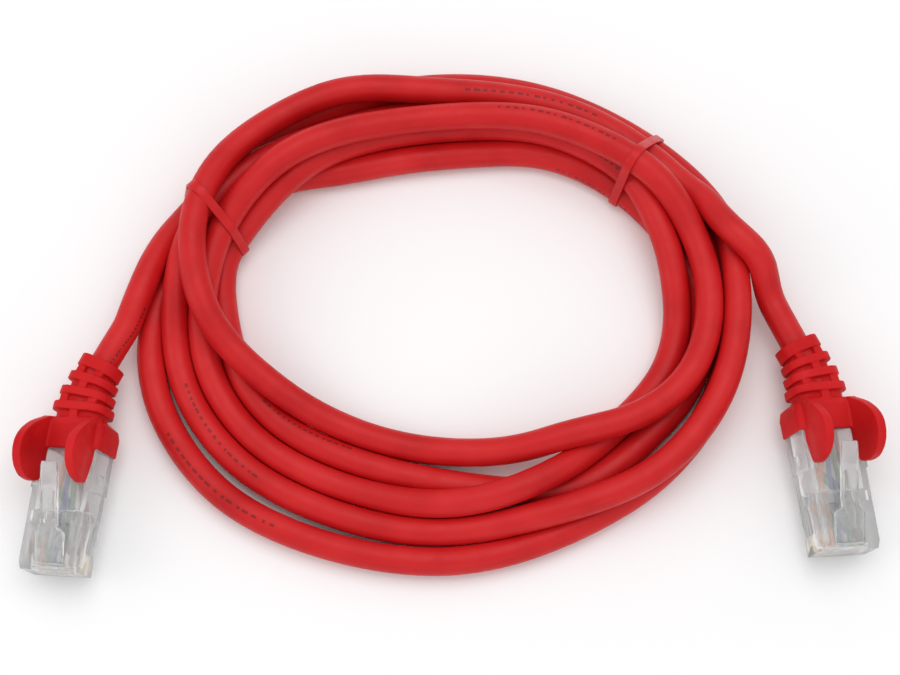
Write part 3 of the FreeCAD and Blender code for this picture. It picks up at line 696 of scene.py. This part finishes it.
def makeEar(hand):
    top = boot["hoodHeight"] / 2
    y, low, high = earOutline[0]
    deselectAll()
    bpy.ops.mesh.primitive_plane_add(size=1, location=(0, y * mm, (low + high) / 2 * mm),
                                     rotation=(0, math.pi / 2, 0))
    ear = bpy.context.object
    ear.name = "ear"
    ear.scale = ((high - low) * mm, 0.3 * mm, 1)
    applyPlace(ear)
    bpy.ops.object.mode_set(mode="EDIT")
    bpy.ops.mesh.select_mode(type="EDGE")
    bpy.ops.mesh.select_all(action="DESELECT")
    bpy.ops.object.mode_set(mode="OBJECT")
    edges = ear.data.edges
    corners = ear.data.vertices
    nearest = min(edges, key=lambda e: corners[e.vertices[0]].co.y + corners[e.vertices[1]].co.y)
    nearest.select = True
    for v in nearest.vertices:
        corners[v].select = True
    bpy.ops.object.mode_set(mode="EDIT")
    for ny, nextLow, nextHigh in earOutline[1:]:
        middle = (nextLow + nextHigh) / 2
        shift = (0, (ny - y) * mm, (middle - (low + high) / 2) * mm)
        bpy.ops.mesh.extrude_region_move(TRANSFORM_OT_translate={"value": shift})
        bpy.ops.transform.resize(value=(1, 1, (nextHigh - nextLow) / (high - low)),
                                 center_override=(0, ny * mm, middle * mm))
        y, low, high = ny, nextLow, nextHigh
    bpy.ops.object.mode_set(mode="OBJECT")
    smooth = ear.modifiers.new("smooth", "SUBSURF")
    smooth.levels = 2
    smooth.render_levels = 2
    wall = ear.modifiers.new("wall", "SOLIDIFY")
    wall.thickness = boot["earThickness"] * mm
    wall.offset = 0
    applyAll(ear)
    lean = boot["earCentre"] - boot["earRoot"]
    for v in ear.data.vertices:
        rise = min(max((v.co.z / mm - top) / boot["earLeanHeight"], 0), 1)
        v.co.x += hand * (boot["earRoot"] + lean * (0.55 + 0.45 * rise)) * mm
    return ear


def makeRings():
    pieces = []
    along = 0.0
    for number in range(boot["ringCount"]):
        width = boot["ringWidth"] - number * boot["widthStep"]
        height = boot["ringHeight"] - number * boot["heightStep"]
        last = number == boot["ringCount"] - 1
        thick = boot["collarLength"] if last else boot["ringThickness"]
        pieces += makeWebs(number, width, height, along + boot["ringGap"] / 2)
        along += boot["ringGap"]
        faces = [(-thick / 2, width, height, 0, 0), (thick / 2, width, height, 0, 0)]
        ring = loft("ring", faces, boot["ringCorner"], 6)
        ring.matrix_world = tailFrame(along + thick / 2)
        applyPlace(ring)
        pieces.append(ring)
        along += thick
    return pieces


def makeWebs(number, width, height, along):
    depth = height / 2 - cordSizes["diameter"] / 2 + boot["webSunk"]
    level = height / 2 - depth / 2 - (boot["webInset"] if number % 2 == 0 else boot["cornerWebInset"])
    if number % 2 == 0:
        spots = [(0, level), (0, -level)]
    else:
        inset = width / 2 - boot["webWidth"] / 2 - boot["webSide"]
        spots = [(-inset, level), (inset, level), (-inset, -level), (inset, -level)]
    half = boot["ringGap"] / 2 + boot["webOverlap"]
    wide = width - 2 * boot["coreSide"]
    high = height - 2 * boot["coreTop"]
    core = loft("core", [(-half, wide, high, 0, 0), (half, wide, high, 0, 0)], boot["coreCorner"], 5)
    core.matrix_world = tailFrame(along)
    applyPlace(core)
    webs = [core]
    for across, up in spots:
        web = loft("web", [(-half, boot["webWidth"], depth, across, up),
                           (half, boot["webWidth"], depth, across, up)])
        web.matrix_world = tailFrame(along)
        applyPlace(web)
        webs.append(web)
    return webs


def bentRod(name, radius, start, end):
    deselectAll()
    bpy.ops.mesh.primitive_circle_add(vertices=48, radius=radius * mm, fill_type="NGON",
                                      location=(0, start * mm, 0), rotation=(math.pi / 2, 0, 0))
    rod = bpy.context.object
    rod.name = name
    applyPlace(rod)
    rear = boot["hoodFront"] + boot["hoodLength"]
    bpy.ops.object.mode_set(mode="EDIT")
    bpy.ops.mesh.select_all(action="SELECT")
    bpy.ops.mesh.extrude_region_move(TRANSFORM_OT_translate={"value": (0, (rear - start) * mm, 0)})
    steps = 8
    for step in range(steps):
        before = tailFrame((end - rear) * step / steps)
        after = tailFrame((end - rear) * (step + 1) / steps)
        shift = after.translation - before.translation
        bpy.ops.mesh.extrude_region_move(TRANSFORM_OT_translate={"value": tuple(shift)})
        turn = (after.to_quaternion() @ before.to_quaternion().inverted()).to_matrix()
        bpy.ops.object.mode_set(mode="OBJECT")
        for v in rod.data.vertices:
            if v.select:
                v.co = after.translation + turn @ (v.co - after.translation)
        bpy.ops.object.mode_set(mode="EDIT")
    bpy.ops.mesh.select_all(action="SELECT")
    bpy.ops.mesh.normals_make_consistent(inside=False)
    bpy.ops.object.mode_set(mode="OBJECT")
    return rod


def makeBoot():
    rear = boot["hoodFront"] + boot["hoodLength"]
    body = joinPieces([makeHood(), makeEar(-1), makeEar(1)] + makeRings(), "bootShape")
    body.data.remesh_voxel_size = boot["voxel"] * mm
    body.data.remesh_voxel_adaptivity = 0
    selectOnly(body)
    bpy.ops.object.voxel_remesh()
    relax = body.modifiers.new("relax", "SMOOTH")
    relax.factor = 0.5
    relax.iterations = boot["relaxSteps"]
    applyAll(body)
    wide, high = boot["socket"]
    socket = loft("socket", [(boot["hoodFront"] - 8, wide, high, 0, 0),
                             (boot["socketEnd"], wide, high, 0, 0)], boot["socketCorner"], 2)
    cutAway(body, socket)
    bore = cordSizes["diameter"] / 2 + boot["borePlay"]
    cutAway(body, bentRod("bore", bore, boot["boreFront"], rear + boot["tailLength"] + 2))
    fewer = body.modifiers.new("fewer", "DECIMATE")
    fewer.ratio = boot["keepFaces"]
    applyAll(body)
    smoothByAngle(body, 50)
    paint(body, bootMat)
    return body


bootLeft = makeBoot()
bootLeft.name = "bootLeft"
bootRight = copyOf(bootLeft, "bootRight")
bootRight.scale = (-1, 1, 1)
applyPlace(bootRight)
cleanShell(bootRight, 0.001)
for side, obj in (("left", bootLeft), ("right", bootRight)):
    obj.matrix_world = plugPlace(side)
    applyPlace(obj)
    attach(obj, "cable")
    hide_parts("boot_" + side)
print("boots made, %d faces each" % len(bootLeft.data.polygons))


# clear plugs

shell = {"edge": 0.10, "latchEdge": 0.09}


def shellFrom(node, name, edge, mat):
    deselectAll()
    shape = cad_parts[node].copy()
    shape.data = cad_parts[node].data.copy()
    shape.name = name
    bpy.context.scene.collection.objects.link(shape)
    shape.parent = None
    shape.matrix_world = Matrix.Identity(4)
    selectOnly(shape)
    bpy.ops.object.mode_set(mode="EDIT")
    bpy.ops.mesh.select_all(action="SELECT")
    bpy.ops.mesh.remove_doubles(threshold=0.002 * mm)
    bpy.ops.mesh.dissolve_limited(angle_limit=math.radians(1.5))
    bpy.ops.object.mode_set(mode="OBJECT")
    softenEdges(shape, edge, 2, 32)
    smoothByAngle(shape, 35)
    paint(shape, mat)
    return shape


for side in sides:
    housing = shellFrom("plug_housing_" + side, "plugShell_" + side, shell["edge"], plugMat)
    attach(housing, "cable")
    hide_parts("plug_housing_" + side)


# latches

latch = {
    "hingeBack": 1.9,
    "hingeHeight": 2.75,
    "slope": 19.5,
    "reach": 18.0,
    "thickness": 0.95,
    "rootWidth": 6.0,
    "crease": 1.9,
    "rootReach": 5.6,
    "tabWidth": 3.4,
    "window": (6.9, 13.2),
    "frame": 0.36,
    "rim": 0.28,
    "frameDepth": 0.62,
}


def makeLatch():
    thick = latch["thickness"]
    root = latch["rootWidth"]
    tab = latch["tabWidth"]
    bend = latch["rootReach"]
    reach = latch["reach"]
    crease = latch["crease"]
    front, back = latch["window"]
    # along the lever, before it is tilted up about its hinge
    lever = loft("latchShape", [(-0.45, root, thick * 0.8, 0, 0), (crease - 0.4, root, thick, 0, 0),
                                (crease, root, thick * 0.72, 0, 0), (crease + 0.4, root, thick, 0, 0),
                                (bend - 0.8, root, thick, 0, 0), (bend + 0.3, tab, thick, 0, 0),
                                (front, tab, thick, 0, 0), (back, tab, thick, 0, 0),
                                (reach - 1.0, tab, thick * 0.85, 0, 0),
                                (reach, tab - 0.3, thick * 0.55, 0, 0)])
    selectOnly(lever)
    bpy.ops.object.mode_set(mode="EDIT")
    bpy.ops.mesh.select_mode(type="FACE")
    bpy.ops.mesh.select_all(action="DESELECT")
    bpy.ops.object.mode_set(mode="OBJECT")
    for f in lever.data.polygons:
        f.select = f.normal.z > 0.9 and front * mm < f.center.y < back * mm
    bpy.ops.object.mode_set(mode="EDIT")
    bpy.ops.mesh.inset(thickness=latch["frame"] * 0.5 * mm)
    bpy.ops.mesh.extrude_region_move(TRANSFORM_OT_translate={"value": (0, 0, latch["rim"] * mm)})
    bpy.ops.mesh.inset(thickness=latch["frame"] * mm)
    bpy.ops.mesh.extrude_region_move(TRANSFORM_OT_translate={"value": (0, 0, -latch["frameDepth"] * mm)})
    bpy.ops.mesh.select_all(action="SELECT")
    bpy.ops.mesh.normals_make_consistent(inside=False)
    bpy.ops.transform.translate(value=(0, latch["hingeBack"] * mm, latch["hingeHeight"] * mm))
    bpy.ops.object.mode_set(mode="OBJECT")
    hinge = Matrix.Translation((0, latch["hingeBack"] * mm, latch["hingeHeight"] * mm))
    tilt = Matrix.Rotation(math.radians(latch["slope"]), 4, "X")
    lever.matrix_world = hinge @ tilt @ hinge.inverted()
    applyPlace(lever)
    softenEdges(lever, shell["latchEdge"], 2, 30)
    smoothByAngle(lever, 35)
    paint(lever, latchMat)
    return lever


latchLeft = makeLatch()
latchLeft.name = "latchLeft"
latchRight = copyOf(latchLeft, "latchRight")
for side, obj in (("left", latchLeft), ("right", latchRight)):
    obj.matrix_world = plugPlace(side)
    applyPlace(obj)
    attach(obj, "latch_" + side)
    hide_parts("latch_lever_" + side)
print("plugs and latches made")


# flat ties round the bundle

band = {
    "width": 1.8,
    "thickness": 0.5,
    "play": 0.03,
    "lowest": 0.32,
    "reach": 16.0,
    "spokes": 36,
    "loopPoints": 96,
    "edge": 0.12,
    "left": {"at": (-43.4, 16.6), "across": 134.0},
    "right": {"at": (34.6, 27.2), "across": 54.0},
}


def bundleOutline(at, across):
    angle = math.radians(across)
    outward = np.array([math.cos(angle), math.sin(angle)])
    along = np.array([-math.sin(angle), math.cos(angle)])
    flat = cordPath[:, :2] / mm - np.array(at)
    travel = flat @ along
    reach = flat @ outward
    ring = []
    for i in range(len(travel) - 1):
        if travel[i] * travel[i + 1] <= 0 and abs(reach[i]) < band["reach"]:
            part = travel[i] / (travel[i] - travel[i + 1])
            out = reach[i] + part * (reach[i + 1] - reach[i])
            up = (cordPath[i, 2] + part * (cordPath[i + 1, 2] - cordPath[i, 2])) / mm
            radius = cordSizes["diameter"] / 2 + band["thickness"] / 2 + band["play"]
            for spoke in range(band["spokes"]):
                turn = math.radians(spoke * 360 / band["spokes"])
                high = max(up + radius * math.sin(turn), band["lowest"])
                ring.append((out + radius * math.cos(turn), high))
    return outward, along, hullOf(ring)


def hullOf(points):
    points = sorted(set(points))
    halves = []
    for run in (points, points[::-1]):
        chain = []
        for p in run:
            while len(chain) > 1:
                (ax, ay), (bx, by) = chain[-2], chain[-1]
                if (bx - ax) * (p[1] - ay) - (by - ay) * (p[0] - ax) > 0:
                    break
                chain.pop()
            chain.append(p)
        halves += chain[:-1]
    return halves


def evenLoop(points, count):
    loop = np.array(points + [points[0]])
    lengths = np.concatenate([[0], np.cumsum(np.linalg.norm(np.diff(loop, axis=0), axis=1))])
    places = np.linspace(0, lengths[-1], count, endpoint=False)
    return np.stack([np.interp(places, lengths, loop[:, 0]), np.interp(places, lengths, loop[:, 1])], 1)


def makeBand(side):
    facts = band[side]
    outward, along, hull = bundleOutline(facts["at"], facts["across"])
    loop = evenLoop(hull, band["loopPoints"])
    deselectAll()
    bpy.ops.mesh.primitive_circle_add(vertices=band["loopPoints"], radius=10 * mm)
    obj = bpy.context.object
    obj.name = "tie_" + side + "_band"
    start = np.array(facts["at"])
    for v, (out, up) in zip(obj.data.vertices, loop):
        spot = start + outward * out - along * band["width"] / 2
        v.co = (spot[0] * mm, spot[1] * mm, up * mm)
    obj.data.update()
    bpy.ops.object.mode_set(mode="EDIT")
    bpy.ops.mesh.select_mode(type="EDGE")
    bpy.ops.mesh.select_all(action="SELECT")
    wide = along * band["width"] * mm
    bpy.ops.mesh.extrude_region_move(TRANSFORM_OT_translate={"value": (wide[0], wide[1], 0)})
    bpy.ops.mesh.select_all(action="SELECT")
    bpy.ops.mesh.normals_make_consistent(inside=False)
    bpy.ops.object.mode_set(mode="OBJECT")
    wall = obj.modifiers.new("wall", "SOLIDIFY")
    wall.thickness = band["thickness"] * mm
    wall.offset = 0
    soft = obj.modifiers.new("soften", "BEVEL")
    soft.width = band["edge"] * mm
    soft.segments = 2
    soft.limit_method = "ANGLE"
    soft.angle_limit = math.radians(50)
    applyAll(obj)
    smoothByAngle(obj, 40)
    paint(obj, bandMat)
    return obj


bands = {}
for side in sides:
    bands[side] = makeBand(side)
    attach(bands[side], "cable")
    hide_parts("tie_" + side)
print("ties made")


# the nodes that stay: contacts, conductors, guides, strain bars and jacket ends

wireOrder = ["wire_white_orange", "wire_orange", "wire_white_green", "wire_blue",
             "wire_white_blue", "wire_green", "wire_white_brown", "wire_brown"]
wireMats = {name: wireMaterial(name) for name in wireOrder}
for side in sides:
    for number, wire in enumerate(wireOrder, start=1):
        paint(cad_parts["conductor_%s_%d" % (side, number)], wireMats[wire])
        paint(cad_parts["contact_%s_%d" % (side, number)], goldMat)
    paint(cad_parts["wire_guide_" + side], guideMat)
    paint(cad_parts["strain_bar_" + side], plugMat)
    paint(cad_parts["jacket_end_" + side], jacketMat)
